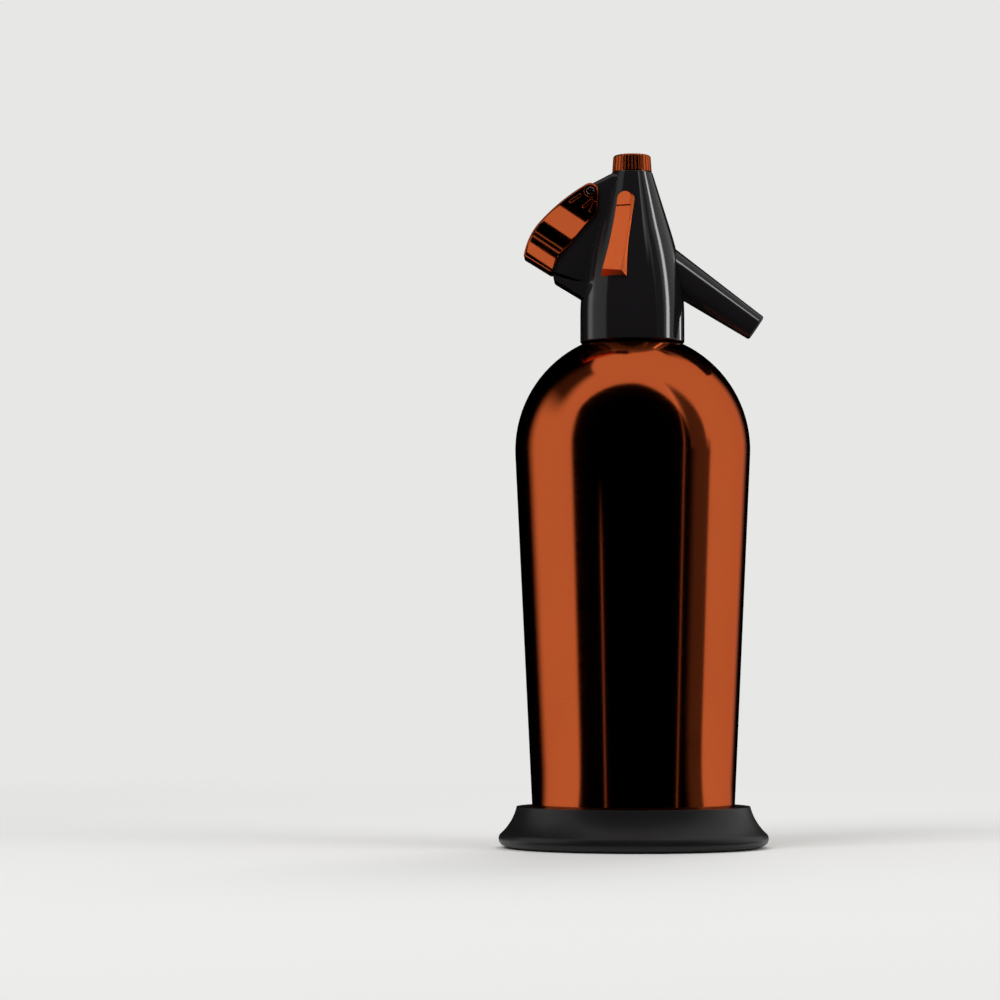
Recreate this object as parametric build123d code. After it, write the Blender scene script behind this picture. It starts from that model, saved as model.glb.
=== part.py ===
from build123d import *
import os
from math import acos, asin, atan2, cos, degrees, hypot, radians, sin, sqrt, tan

# Soda siphon: a domed, tapered bottle standing in a flared foot, with a screw-on head that
# carries a squeeze lever, a straight-through discharge valve, a spout, a bright bar on each
# side and, under a knurled cap, the inlet that a gas charger is pressed on to.
#
# Frame: millimetres, Z up, +X towards the spout and -X towards the lever. The origin is the
# middle of the underside, where the foot ring stands on the table.

# ---------------------------------------------------------------- clearances
run_gap = 0.06  # radial, a sliding or turning fit
seat_gap = 0.05  # between two pieces that are fixed to each other
loose_gap = 0.25  # radial, the bottle in its foot
side_gap = 0.4  # each side, between the lever's cheeks and the lever arm of the head
thread_gap = 0.25  # radial, between a thread's crest and the root that faces it
thread_lead = 0.125  # axial, from the end of a threaded piece to its first ridge

# ---------------------------------------------------------------- foot
base_ledge = 6.8  # from the bottle to the foot's top edge
base_flare = 8.0  # how far the foot spreads below its top edge
base_height = 18.1
base_edge_radius = 3.2
base_edge_angle = 40.0  # where the flare runs into the rounded edge
base_flare_sag = 1.1  # how hollow the flare is
base_wall = 2.4
base_floor = 2.6
foot_ring_proud = 0.8
foot_ring_inset = 4.4  # from the foot's outside
foot_ring_width = 6.8
foot_ring_depth = 2.2
foot_ring_fillet = 0.5
pad_inset = 6.6  # from the bottle's outside
pad_width = 11.0
pad_thickness = 1.2
hub_radius = 13.0
hub_rise = 5.8
stud_radius = 3.0
stud_collar_radius = 5.5
stud_end_rise = 1.6  # above the table
washer_radius = 7.5
washer_thickness = 0.9
nut_across_flats = 10.0
nut_height = 3.2

# ---------------------------------------------------------------- bottle
dome_radius = 52.0
body_length = 157.2  # from the top of the foot to the dome's centre
body_taper = 7.4  # how much less the radius is at the top of the foot
body_wall = 2.0
heel_radius = 9.0
dish_depth = 8.0  # of the hollow under the bottle
dish_inset = 12.6  # from the bottle's outside
neck_radius = 15.0
neck_fillet = 3.0
rim_lip_height = 1.6
rim_lip_width = 1.3

# ---------------------------------------------------------------- neck thread
neck_ring_wall = 1.9  # from the neck to the thread's root
neck_thread_depth = 1.0
neck_thread_pitch = 3.5
neck_thread_ridge = 2.2  # axial width at the root
neck_thread_turns = 1.75
neck_nut_turns = 1.5
neck_ring_rise = 0.93  # above the neck's fillet

# ---------------------------------------------------------------- dip tube
tube_radius = 4.0
tube_bore_radius = 2.6
tube_foot_gap = 6.0  # above the middle of the bottle's bottom
tube_foot_bevel = 30.0  # degrees
tube_plug_length = 9.0  # how far it plugs up into the head
flange_thickness = 1.2
flange_hub_radius = 6.4
flange_hub_length = 8.0
flange_port_radius = 1.4
flange_ports = 4
gasket_lip = 1.0  # rubber above and below the flange
gasket_proud = 0.3  # beyond the bottle's lip
gasket_inset = 0.2  # from the bottle's mouth

# ---------------------------------------------------------------- head
skirt_wall = 2.55  # outside the threaded insert
skirt_dome_gap = 0.5
skirt_edge_fillet = 0.7
shoulder_drop = 7.7  # where the skirt ends, below the head's inner ceiling
cone_angle = 17.2  # degrees from the vertical
crown_ledge = 0.3  # beyond the cap
crown_rise = 31.9  # above the valve's axis
crown_fillet = 0.4
insert_wall = 2.4  # from the thread's root to the outside of the insert
insert_overrun = 0.6  # below the neck ring
insert_ribs = 6
insert_rib_width = 2.4
insert_rib_height = 0.8

# ---------------------------------------------------------------- valve, along its own slanted axis
valve_slope = 34.5  # degrees below the horizontal, towards the spout
valve_rise = 25.3  # from the head's inner ceiling to where the axis crosses the bottle's
chamber_radius = 4.6
chamber_start = -8.0
seat_start = 11.0
seat_thickness = 3.0
seat_radius = 7.0
seat_bore_radius = 3.3
seat_lip = 0.5
seat_lip_radius = 3.9
guide_radius = 5.0
chamber_wall = 1.5  # between the chamber and the guide
guide_length = 15.0
seal_depth = 2.2
seal_radius = 3.9
stem_radius = 2.0
stem_tail_radius = 1.5
valve_washer_radius = 5.0
valve_washer_thickness = 2.0
tail_nut_radius = 4.7
tail_nut_thickness = 1.3
tail_nut_nose_radius = 2.9
tail_nut_nose = 3.0
spring_wire = 0.9
spring_radius = 4.1
spring_turns = 6.0
spring_length = 12.15

# ---------------------------------------------------------------- spout
spout_tip = 66.7
spout_tip_radius = 6.0
spout_root = 17.0
spout_root_radius = 9.1
spout_mouth_radius = 4.0
spout_mouth_depth = 8.0
spout_bore_radius = 3.4
spout_edge_fillet = 1.0
spigot_wall = 1.4
straightener_length = 7.0
straightener_hole_radius = 0.75
straightener_hole_circle = 2.1
straightener_holes = 6

# ---------------------------------------------------------------- lever
pin_x = -18.4
pin_drop = 9.3  # below the crown
pin_radius = 1.7
pin_proud = 0.4
lever_width = 19.6
lever_wall = 1.4
lever_ear_radius = 3.75
lever_squeeze = 12.0  # degrees from rest to fully squeezed
lever_back_start = 120.3  # directions of the back's outward normal, in degrees from +X
lever_back_knee = 137.4
lever_back_end = 170.7
lever_back_upper_radius = 87.0
lever_back_lower_radius = 30.0
lever_front_angle = -8.0
lever_corner_x = 3.2  # corners of the cheek's front edge, from the pin
lever_corner_z = -9.4
lever_corner_fillet = 6.0
lever_knee_x = -14.5
lever_knee_z = -30.4
lever_knee_fillet = 4.0
lever_toe_x = -16.7
lever_toe_z = -36.5
lever_toe_fillet = 1.5
lever_edge_fillet = 1.1
lever_slot_radius = 4.7  # room in the back for the head's ear
lever_press_gap = 0.3  # between the lever's back and the stem
lever_mouth_turn = 20.0  # degrees that the channel is cut on past the end of the back
lever_boss_radius = 2.8  # round the pin
lever_boss_rise = 0.2
lever_rib_radius = 0.6
lever_rib_rise = 0.35
lever_ribs = (  # the pressed ribs of each ear, end to end in X and Z from the pin
    ((0.4, -4.2), (-3.0, -7.0)),
    ((2.0, -5.2), (0.0, -8.8)),
    ((-4.6, -1.9), (-8.8, -4.7)),
)

# ---------------------------------------------------------------- lever arm of the head
arm_ear_radius = 3.2
arm_gap = 0.7  # left inside the lever's back when it is fully squeezed
arm_step = 1.0  # below the crown
arm_shoulder_x = -9.3
arm_fillet = 3.0
ledge_inset = 0.2  # from the lever's toe
ledge_gap = 0.45
ledge_drop = 2.5  # of its corner below the lever's toe
ledge_slope = 31.5
ledge_fillet = 2.0

# ---------------------------------------------------------------- charging inlet and cap
inlet_radius = 5.0
inlet_nose = 0.225  # above the thread
inlet_wall = 1.1  # between the charger's neck and the thread's root
inlet_flange_width = 1.6
inlet_flange_height = 1.4
inlet_thread_depth = 0.45
inlet_thread_pitch = 1.5
inlet_thread_ridge = 0.95
inlet_thread_turns = 2.0
cap_nut_turns = 1.5
charger_neck_radius = 4.5
charger_neck_depth = 4.8
charger_seal_thickness = 1.0
charger_seal_inner = 2.2
pierce_radius = 1.3
pierce_bore_radius = 0.5
pierce_rise = 3.6  # of the tip above the charger's seat
pierce_cone = 2.2
pierce_depth = 6.8  # below the charger's seat
check_port_radius = 1.0
check_port_length = 1.4
check_bore_depth = 8.1
check_bore_radius = 2.6
check_ball_radius = 1.9
check_wire = 0.4
check_spring_radius = 1.4
check_spring_turns = 4.0
check_plug_height = 2.0
gas_pocket_depth = 3.0
gas_passage_radius = 1.2
gas_passage_y = 9.2
gas_gallery_drop = 1.6

cap_wall = 1.4  # round the inlet's flange
cap_lean = 0.5  # how much less the radius is at the top
cap_gap = 0.4  # above the crown
cap_roof = 1.1
cap_fillet = 1.0
cap_side_room = 0.2  # round the inlet's flange
cap_end_room = 0.3  # above the inlet's flange
cap_flutes = 32
cap_flute_radius = 0.42
liner_thickness = 0.85
liner_gap = 0.1

# ---------------------------------------------------------------- side bars, in their face's plane
bar_turn = 18.0  # degrees round the head from the side towards the lever
bar_rise = 1.6  # of the face from the cone
bar_drop = 46.9  # of its lower end below the crown
bar_length = 35.0  # up to the centre of the rounded top
bar_top_radius = 3.2
bar_top_x = 1.1
bar_foot_left = -5.8
bar_foot_right = 3.2
bar_foot_lift = 0.9  # how much higher the left corner is
bar_waist_x = -3.1
bar_waist_share = 0.55  # of the length
bar_lip = 2.6  # flat strip left along the lower end
bar_tab = 3.4  # flat part left below the centre of the rounded top
bar_step = 0.7  # from the tab down to the hollow face
bar_sag = 0.4  # how hollow the face is
bar_edge_fillet = 0.2
bar_draft = 20.0  # degrees
bar_depth = 7.0
bar_stud_radius = 1.3
bar_stud_reach = 4.6  # from the face
bar_stud_low = 6.0  # up the face
bar_stud_high = 28.0

# ---------------------------------------------------------------- places worked out from the sizes
overlap = 1.0  # how far a cutting shape runs past the face it opens

body_foot_radius = dome_radius - body_taper
base_rim_radius = body_foot_radius + base_ledge
base_radius = base_rim_radius + base_flare
foot_ring_outer = base_radius - foot_ring_inset
foot_ring_inner = foot_ring_outer - foot_ring_width
pad_outer = body_foot_radius - pad_inset
pad_inner = pad_outer - pad_width
dish_rim_radius = body_foot_radius - dish_inset
mouth_radius = neck_radius - body_wall
rim_lip_radius = neck_radius + rim_lip_width
gasket_outer = rim_lip_radius + gasket_proud
gasket_inner = mouth_radius + gasket_inset
flange_radius = gasket_outer - gasket_lip
neck_thread_root = neck_radius + neck_ring_wall
insert_bore = neck_thread_root + neck_thread_depth + thread_gap
insert_radius = insert_bore + insert_wall
skirt_radius = insert_radius + skirt_wall
inlet_thread_root = charger_neck_radius + inlet_wall
inlet_flange_radius = inlet_thread_root + inlet_flange_width
cap_bore = inlet_thread_root + inlet_thread_depth + thread_gap
cap_counterbore_radius = inlet_flange_radius + cap_side_room
cap_radius = cap_counterbore_radius + cap_wall
cap_top_radius = cap_radius - cap_lean
crown_radius = cap_radius + crown_ledge

floor_z = foot_ring_proud + base_floor
bottle_low_z = floor_z + pad_thickness
dish_radius = (dish_rim_radius**2 + dish_depth**2) / (2 * dish_depth)
dish_top_z = bottle_low_z + dish_depth  # middle of the bottle's underside
dish_centre_z = dish_top_z - dish_radius
dome_centre_z = base_height + body_length
neck_fillet_z = dome_centre_z + sqrt(
    (dome_radius + neck_fillet) ** 2 - (neck_radius + neck_fillet) ** 2
)
neck_ring_low_z = neck_fillet_z + neck_ring_rise
neck_thread_low = neck_ring_low_z + neck_thread_ridge / 2 + thread_lead
neck_ring_high_z = (
    neck_thread_low + neck_thread_turns * neck_thread_pitch + neck_thread_ridge / 2 + 2 * thread_lead
)
rim_z = neck_ring_high_z + rim_lip_height
flange_z = rim_z + gasket_lip
ceiling_z = flange_z + flange_thickness + gasket_lip
insert_low_z = neck_ring_low_z - insert_overrun
shoulder_z = ceiling_z - shoulder_drop
valve_axis_z = ceiling_z + valve_rise
crown_z = valve_axis_z + crown_rise
pin_z = crown_z - pin_drop
bar_low_z = crown_z - bar_drop
tube_low_z = dish_top_z + body_wall + tube_foot_gap
tube_high_z = ceiling_z + tube_plug_length
body_angle = degrees(
    asin(dome_radius / hypot(body_length, body_foot_radius)) - atan2(body_foot_radius, body_length)
)
skirt_arc_radius = (
    crown_radius + (crown_z - shoulder_z) * tan(radians(cone_angle)) - skirt_radius
) / (sin(radians(cone_angle)) * tan(radians(cone_angle)) - 1 + cos(radians(cone_angle)))

pin_place = (pin_x, pin_z)
arm_width = lever_width - 2 * (lever_wall + side_gap)
lever_reach = hypot(lever_toe_x, lever_toe_z)
ledge_x = pin_x + lever_toe_x + ledge_inset
ledge_corner_z = pin_z + lever_toe_z - ledge_drop

guide_inner_end = chamber_start - chamber_wall
guide_outer_end = guide_inner_end - guide_length
seat_face = seat_start + seat_thickness
washer_start = seat_face + seat_lip + seat_gap
tail_nut_start = washer_start + valve_washer_thickness
spring_start = tail_nut_start + tail_nut_thickness
spigot_end = spring_start + spring_length
pocket_radius = seat_radius - spigot_wall

inlet_thread_low = crown_z + inlet_flange_height + inlet_thread_ridge / 2 + thread_lead
inlet_thread_high = inlet_thread_low + inlet_thread_turns * inlet_thread_pitch
inlet_top_z = inlet_thread_high + inlet_thread_ridge / 2 + inlet_nose
charger_seat_z = inlet_top_z - charger_neck_depth
pierce_tip_z = charger_seat_z + pierce_rise
pierce_low_z = charger_seat_z - pierce_depth
check_seat_z = pierce_low_z - check_port_length
inlet_low_z = check_seat_z - check_bore_depth
gallery_z = inlet_low_z - gas_gallery_drop
check_plug_top = inlet_low_z + check_plug_height
ball_z = check_seat_z - sqrt(check_ball_radius**2 - check_port_radius**2) - seat_gap
check_spring_top = (
    ball_z
    - sqrt((check_ball_radius + check_wire / 2) ** 2 - check_spring_radius**2)
    + check_wire / 2
    - seat_gap
)
cap_low_z = crown_z + cap_gap
cap_counterbore_z = crown_z + inlet_flange_height + cap_end_room
cap_ceiling_z = inlet_top_z + seat_gap + liner_thickness
cap_top_z = cap_ceiling_z + cap_roof


def stem_start_place():
    """Where along the valve's axis the stem's round end is centred, just inside the lever's back."""
    slope = radians(valve_slope)
    start = radians(lever_back_start)
    from_centre = lever_ear_radius - lever_back_upper_radius
    centre_x = pin_x + from_centre * cos(start)
    centre_z = pin_z + from_centre * sin(start) - valve_axis_z
    along = centre_x * cos(slope) - centre_z * sin(slope)
    across = centre_x * sin(slope) + centre_z * cos(slope)
    reach = lever_back_upper_radius - lever_wall - lever_press_gap - stem_radius
    return along - sqrt(reach**2 - across**2)


stem_start = stem_start_place()
valve_frame = Plane(
    origin=(0, 0, valve_axis_z),
    x_dir=(0, 1, 0),
    z_dir=(cos(radians(valve_slope)), 0, -sin(radians(valve_slope))),
)


# ---------------------------------------------------------------- helpers
def polar(centre, radius, angle):
    """The point at an angle in degrees on a circle in an outline's own plane."""
    return (
        centre[0] + radius * cos(radians(angle)),
        centre[1] + radius * sin(radians(angle)),
    )


def arc(centre, radius, start, end):
    """An arc about a centre, from one angle to another, in degrees."""
    return ThreePointArc(
        polar(centre, radius, start),
        polar(centre, radius, (start + end) / 2),
        polar(centre, radius, end),
    )


def outline(*edges):
    """A face in the plane of X (or radius) and Z, from edges that close on each other."""
    return Plane.XZ * make_face(Curve() + list(edges))


def turned(*edges):
    """A solid turned about Z from a closed outline of radius and height."""
    return revolve(outline(*edges), Axis.Z)


def ring(outer, inner, low, high):
    """A plain ring about Z, or a disc if inner is 0."""
    return turned(Polyline((inner, low), (outer, low), (outer, high), (inner, high), close=True))


def slab(width, *edges):
    """An outline in X and Z, thickened equally to both sides of the middle plane."""
    return extrude(outline(*edges), amount=width / 2, both=True)


def cross_rod(radius, place, width):
    """A round rod along Y through a point in X and Z."""
    return Pos(place[0], 0, place[1]) * Rot(90, 0, 0) * Cylinder(radius, width)


def thread(root, depth, pitch, ridge, turns, low, inward=False):
    """A helical ridge on a cylinder, outwards or inwards; low is the height of its start."""
    way = -1 if inward else 1
    bury = 0.2
    foot = ridge / 2 + bury * ridge / 4 / depth
    path = Helix(pitch=pitch, height=pitch * turns, radius=root)
    section = Plane(origin=path @ 0, x_dir=(1, 0, 0), z_dir=path % 0) * make_face(
        Polyline(
            (-way * bury, -foot),
            (way * depth, -ridge / 4),
            (way * depth, ridge / 4),
            (-way * bury, foot),
            close=True,
        )
    )
    return Pos(0, 0, low) * sweep(section, path=path, is_frenet=True)


def coil(radius, wire, turns, low, high):
    """A round-wire compression spring about Z, its ends just inside low and high."""
    rise = high - low - wire
    path = Helix(pitch=rise / turns, height=rise, radius=radius)
    section = Plane(origin=path @ 0, z_dir=path % 0) * Circle(wire / 2)
    return Pos(0, 0, low + wire / 2) * sweep(section, path=path, is_frenet=True)


def on_valve(shape):
    """A shape made about Z, moved so that its Z is the valve's slanted axis."""
    return valve_frame.location * shape


# ---------------------------------------------------------------- bottle and foot
def bottle_form(inset, top):
    """The bottle's outside, or its inside if inset is the wall, up to a height."""
    heel_z = bottle_low_z + heel_radius
    slope = radians(body_angle)
    heel_r = (dome_radius - heel_radius - (dome_centre_z - heel_z) * sin(slope)) / cos(slope)
    low = bottle_low_z + inset
    dish = dish_radius + inset
    dish_end = degrees(asin((low - dish_centre_z) / dish))
    neck_turn = degrees(atan2(neck_fillet_z - dome_centre_z, neck_radius + neck_fillet))
    heel = (heel_r, heel_z)
    dome = (0, dome_centre_z)
    neck = (neck_radius + neck_fillet, neck_fillet_z)
    return turned(
        arc((0, dish_centre_z), dish, 90, dish_end),
        Line(polar((0, dish_centre_z), dish, dish_end), (heel_r, low)),
        arc(heel, heel_radius - inset, -90, -body_angle),
        Line(
            polar(heel, heel_radius - inset, -body_angle),
            polar(dome, dome_radius - inset, -body_angle),
        ),
        arc(dome, dome_radius - inset, -body_angle, neck_turn),
        arc(neck, neck_fillet + inset, 180 + neck_turn, 180),
        Polyline(
            (neck_radius - inset, neck_fillet_z),
            (neck_radius - inset, top),
            (0, top),
            (0, dish_centre_z + dish),
        ),
    )


def make_bottle():
    lip = ring(rim_lip_radius, mouth_radius, rim_z - rim_lip_height, rim_z)
    return bottle_form(0, rim_z) + lip - bottle_form(body_wall, rim_z + overlap)


def make_neck_ring():
    collar = ring(neck_thread_root, neck_radius + seat_gap, neck_ring_low_z, neck_ring_high_z)
    return collar + thread(
        neck_thread_root,
        neck_thread_depth,
        neck_thread_pitch,
        neck_thread_ridge,
        neck_thread_turns,
        neck_thread_low,
    )


def base_outline():
    """The foot's outside as one solid of revolution."""
    rim = (base_rim_radius, base_height)
    edge = (base_radius - base_edge_radius, foot_ring_proud + base_edge_radius)
    shoulder = polar(edge, base_edge_radius, base_edge_angle)
    run = (shoulder[0] - rim[0], shoulder[1] - rim[1])
    share = base_flare_sag / hypot(*run)
    middle = (
        (rim[0] + shoulder[0]) / 2 + run[1] * share,
        (rim[1] + shoulder[1]) / 2 - run[0] * share,
    )
    return turned(
        Polyline((edge[0], foot_ring_proud), (0, foot_ring_proud), (0, base_height), rim),
        ThreePointArc(rim, middle, shoulder),
        arc(edge, base_edge_radius, base_edge_angle, -90),
    )


def make_base():
    """The foot: a cup for the bottle, a hub for the stud and a hollow flared skirt."""
    body = base_outline()
    pocket = bottle_form(-loose_gap, base_height + overlap)
    under_pad = ring(pad_outer + loose_gap, 0, floor_z, bottle_low_z + overlap)
    under_dish = ring(dish_rim_radius, 0, floor_z, dish_top_z)
    hub = ring(hub_radius, 0, floor_z, floor_z + hub_rise)
    cup_wall = body_foot_radius + loose_gap + base_wall
    hollow_top = base_height - base_wall
    hollow = turned(
        Polyline(
            (cup_wall, foot_ring_proud + foot_ring_depth),
            (foot_ring_outer - base_wall / 2, foot_ring_proud + foot_ring_depth),
            (base_rim_radius - base_wall / 2, hollow_top),
            (cup_wall, hollow_top),
            close=True,
        )
    )
    groove = ring(foot_ring_outer, foot_ring_inner, 0, foot_ring_proud + foot_ring_depth)
    hub_hollow = ring(
        hub_radius - base_wall, 0, foot_ring_proud - overlap, foot_ring_proud + hub_rise
    )
    stud_hole = ring(stud_radius + loose_gap, 0, 0, base_height)
    return body - (pocket + under_pad + under_dish - hub) - hollow - groove - hub_hollow - stud_hole


def make_foot_ring():
    tyre = ring(
        foot_ring_outer - seat_gap,
        foot_ring_inner + seat_gap,
        0,
        foot_ring_proud + foot_ring_depth,
    )
    return fillet(tyre.edges().group_by(Axis.Z)[0], foot_ring_fillet)


def make_base_pad():
    return ring(pad_outer, pad_inner, floor_z, bottle_low_z)


def make_base_stud():
    """The threaded stud that is welded under the bottle and pulls it into the foot."""
    hub_top = floor_z + hub_rise
    collar_top = dish_centre_z + sqrt(dish_radius**2 - stud_collar_radius**2) - seat_gap
    collar = ring(stud_collar_radius, 0, hub_top, collar_top)
    return collar + ring(stud_radius, 0, stud_end_rise, hub_top)


def make_base_washer():
    top = foot_ring_proud + hub_rise
    return ring(washer_radius, stud_radius + seat_gap, top - washer_thickness, top)


def make_base_nut():
    top = foot_ring_proud + hub_rise - washer_thickness
    blank = extrude(
        Pos(0, 0, top - nut_height) * RegularPolygon(nut_across_flats / 2, 6, major_radius=False),
        nut_height,
    )
    return blank - ring(stud_radius + seat_gap, 0, 0, base_height)


# ---------------------------------------------------------------- dip tube
def make_dip_tube():
    tube = ring(tube_radius, tube_bore_radius, tube_low_z, tube_high_z)
    below = Cylinder(
        4 * tube_radius, 4 * tube_radius, align=(Align.CENTER, Align.CENTER, Align.MAX)
    )
    return tube - Pos(0, 0, tube_low_z) * Rot(0, tube_foot_bevel, 0) * below


def make_tube_flange():
    disc = ring(flange_radius, 0, flange_z, flange_z + flange_thickness)
    hub = ring(flange_hub_radius, 0, flange_z - flange_hub_length, flange_z)
    port = Pos(0, 0, flange_z) * Cylinder(flange_port_radius, 4 * flange_thickness)
    ports = PolarLocations(gas_passage_y, flange_ports) * port
    bore = ring(tube_radius + seat_gap, 0, flange_z - flange_hub_length - overlap, ceiling_z)
    return disc + hub - ports - bore


def make_neck_gasket():
    """A rubber ring of U section that wraps the flange's rim."""
    body = ring(gasket_outer, gasket_inner, rim_z, ceiling_z)
    return body - ring(flange_radius + seat_gap, 0, flange_z, flange_z + flange_thickness)


# ---------------------------------------------------------------- head
def head_form(grow=0.0):
    """The head's turned outside, from the crown down to the edge that follows the dome."""
    skirt = skirt_radius + grow
    crown = crown_radius + grow
    edge = dome_radius + skirt_dome_gap
    edge_turn = degrees(acos(skirt / edge))
    centre = (skirt_radius - skirt_arc_radius, shoulder_z)
    return turned(
        arc((0, dome_centre_z), edge, 90, edge_turn),
        Line(polar((0, dome_centre_z), edge, edge_turn), (skirt, shoulder_z)),
        arc(centre, skirt_arc_radius + grow, 0, cone_angle),
        Polyline(
            polar(centre, skirt_arc_radius + grow, cone_angle),
            (crown, crown_z),
            (0, crown_z),
            (0, dome_centre_z + edge),
        ),
    )


def about_pin(point, angle):
    """A point in X and Z, turned about the lever's pin."""
    away = (point[0] - pin_x, point[1] - pin_z)
    return polar(pin_place, hypot(*away), degrees(atan2(away[1], away[0])) + angle)


def lever_back(inset=0.0, angle=0.0, run_on=0.0):
    """The lever's back in two arcs, set inwards, turned about the pin and run on past its end."""
    upper = polar(pin_place, lever_ear_radius - lever_back_upper_radius, lever_back_start)
    lower = polar(upper, lever_back_upper_radius - lever_back_lower_radius, lever_back_knee)
    start, knee, end = lever_back_start + angle, lever_back_knee + angle, lever_back_end + angle
    return [
        arc(about_pin(upper, angle), lever_back_upper_radius - inset, start, knee),
        arc(about_pin(lower, angle), lever_back_lower_radius - inset, knee, end + run_on),
    ]


def ledge_area(width):
    """The head's left side below the lever: all that lies right of and above the ledge."""
    corner = (ledge_x, ledge_corner_z)
    low_end = (0, ledge_corner_z + ledge_x * tan(radians(ledge_slope)))
    return slab(
        width,
        FilletPolyline((ledge_x, crown_z), corner, low_end, radius=ledge_fillet),
        Polyline(low_end, (0, crown_z), (ledge_x, crown_z)),
    )


def lever_arm():
    """The flat arm that the lever straddles, with its ear for the pin."""
    back = lever_back(lever_wall + arm_gap, lever_squeeze)
    fin = slab(
        arm_width,
        *back,
        Polyline(back[1] @ 1, (0, ceiling_z), (0, pin_z), pin_place, back[0] @ 0),
    )
    return (fin & ledge_area(arm_width)) + cross_rod(arm_ear_radius, pin_place, arm_width)


def arm_bridge():
    """The sloping roof between the crown and the ear."""
    top = crown_z - arm_step
    away = (arm_shoulder_x - pin_x, top - pin_z)
    touch = degrees(atan2(away[1], away[0]) + acos(arm_ear_radius / hypot(*away)))
    block = slab(
        arm_width,
        Polyline(
            (0, top),
            (arm_shoulder_x, top),
            polar(pin_place, arm_ear_radius, touch),
            pin_place,
            (0, pin_z - crown_radius),
            close=True,
        ),
    )
    roof = [
        edge
        for edge in block.edges()
        if abs(edge.center().Y) > arm_width / 2 - seat_gap
        and edge.center().Z > pin_z + arm_ear_radius / 2
        and edge.center().X < 0
    ]
    return fillet(roof, arm_fillet)


def ledge():
    """The lip under the lever's open end, just clear of its swing."""
    swing = cross_rod(lever_reach + ledge_gap, pin_place, 2 * lever_width)
    return ledge_area(lever_width) - swing


def bar_plane():
    """The plane of a side bar's bright face before it is turned round the head."""
    slope = radians(cone_angle)
    radius = crown_radius + (crown_z - bar_low_z) * tan(slope)
    return Plane(
        origin=(0, -radius - bar_rise * cos(slope), bar_low_z + bar_rise * sin(slope)),
        x_dir=(1, 0, 0),
        z_dir=(0, -cos(slope), sin(slope)),
    )


def bar_studs(gap):
    """The pair of studs behind one side bar, or their holes if gap is over 0."""
    reach = bar_stud_reach + 4 * gap
    stud = Cylinder(bar_stud_radius + gap, reach, align=(Align.CENTER, Align.CENTER, Align.MAX))
    places = Locations((bar_top_x, bar_stud_low), (bar_top_x, bar_stud_high))
    return bar_plane() * (Part() + places * stud)


def bar_hollow():
    """What is taken off a side bar's face between its lip and its tab, in the face's own frame."""
    low, high = (bar_lip, 0), (bar_length - bar_tab, -bar_step)
    middle = ((low[0] + high[0]) / 2, (low[1] + high[1]) / 2 - bar_sag)
    profile = make_face(
        Curve()
        + [ThreePointArc(low, middle, high), Polyline(high, (high[0], overlap), (low[0], overlap), low)]
    )
    return extrude(Plane.YZ * profile, amount=bar_length, both=True)


def make_side_bar():
    """The bright bar on the near side: a hollow face with drafted sides, cut to the head."""

    def bar_outline(grow):
        radius = bar_top_radius + grow
        foot_left = (bar_foot_left - grow, bar_foot_lift - grow)
        foot_right = (bar_foot_right + grow, -grow)
        return make_face(
            Curve()
            + [
                arc((bar_top_x, bar_length), radius, 0, 180),
                ThreePointArc(
                    (bar_top_x - radius, bar_length),
                    (bar_waist_x - grow, bar_length * bar_waist_share),
                    foot_left,
                ),
                Polyline(foot_left, foot_right, (bar_top_x + radius, bar_length)),
            ]
        )

    spread = bar_depth * tan(radians(bar_draft))
    blank = loft([Pos(0, 0, -bar_depth) * bar_outline(spread), bar_outline(0)])
    blank = fillet(blank.edges().group_by(Axis.Z)[-1], bar_edge_fillet)
    turn = Rot(0, 0, -bar_turn)
    bar = turn * (bar_plane() * blank) - head_form(seat_gap) + turn * bar_studs(0)
    return bar - turn * (bar_plane() * bar_hollow())


def insert_ribs_ring(gap):
    """The ribs that key the threaded insert into the head, or their slots if gap is over 0."""
    low = insert_low_z - gap
    rib = Pos(insert_radius, 0, low) * Box(
        2 * (insert_rib_height + gap),
        insert_rib_width + 2 * gap,
        ceiling_z - low,
        align=(Align.CENTER, Align.CENTER, Align.MIN),
    )
    return Part() + PolarLocations(0, insert_ribs) * rib


def head_bores():
    """Everything that is bored or cored out of the head, shape by shape."""
    neck_room = ring(insert_radius + seat_gap, 0, dome_centre_z, ceiling_z)
    tube_bore = ring(tube_radius + run_gap, 0, ceiling_z, tube_high_z + seat_gap)
    riser = ring(tube_bore_radius, 0, ceiling_z, valve_axis_z)
    inlet_bore = ring(inlet_radius + seat_gap, 0, inlet_low_z, crown_z + overlap)
    gas_pocket = ring(check_bore_radius, 0, inlet_low_z - gas_pocket_depth, inlet_low_z)
    gallery = Pos(0, 0, gallery_z) * Rot(90, 0, 0) * Cylinder(gas_passage_radius, 2 * gas_passage_y)
    passage = Cylinder(
        gas_passage_radius, gallery_z - ceiling_z, align=(Align.CENTER, Align.CENTER, Align.MIN)
    )
    passages = [Pos(0, side * gas_passage_y, ceiling_z) * passage for side in (-1, 1)]
    valve_bores = (
        ring(chamber_radius, 0, chamber_start, seat_start)
        + ring(stem_radius + 4 * run_gap, 0, guide_inner_end, chamber_start)
        + ring(guide_radius + seat_gap, 0, guide_outer_end * 2, guide_inner_end)
        + ring(seat_radius + seat_gap, 0, seat_start, spigot_end + seat_radius)
    )
    pin_hole = cross_rod(pin_radius + seat_gap, pin_place, 2 * lever_width)
    return [
        neck_room + insert_ribs_ring(seat_gap),
        tube_bore,
        riser,
        inlet_bore,
        gas_pocket,
        gallery,
        *passages,
        on_valve(valve_bores),
        pin_hole,
    ]


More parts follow.
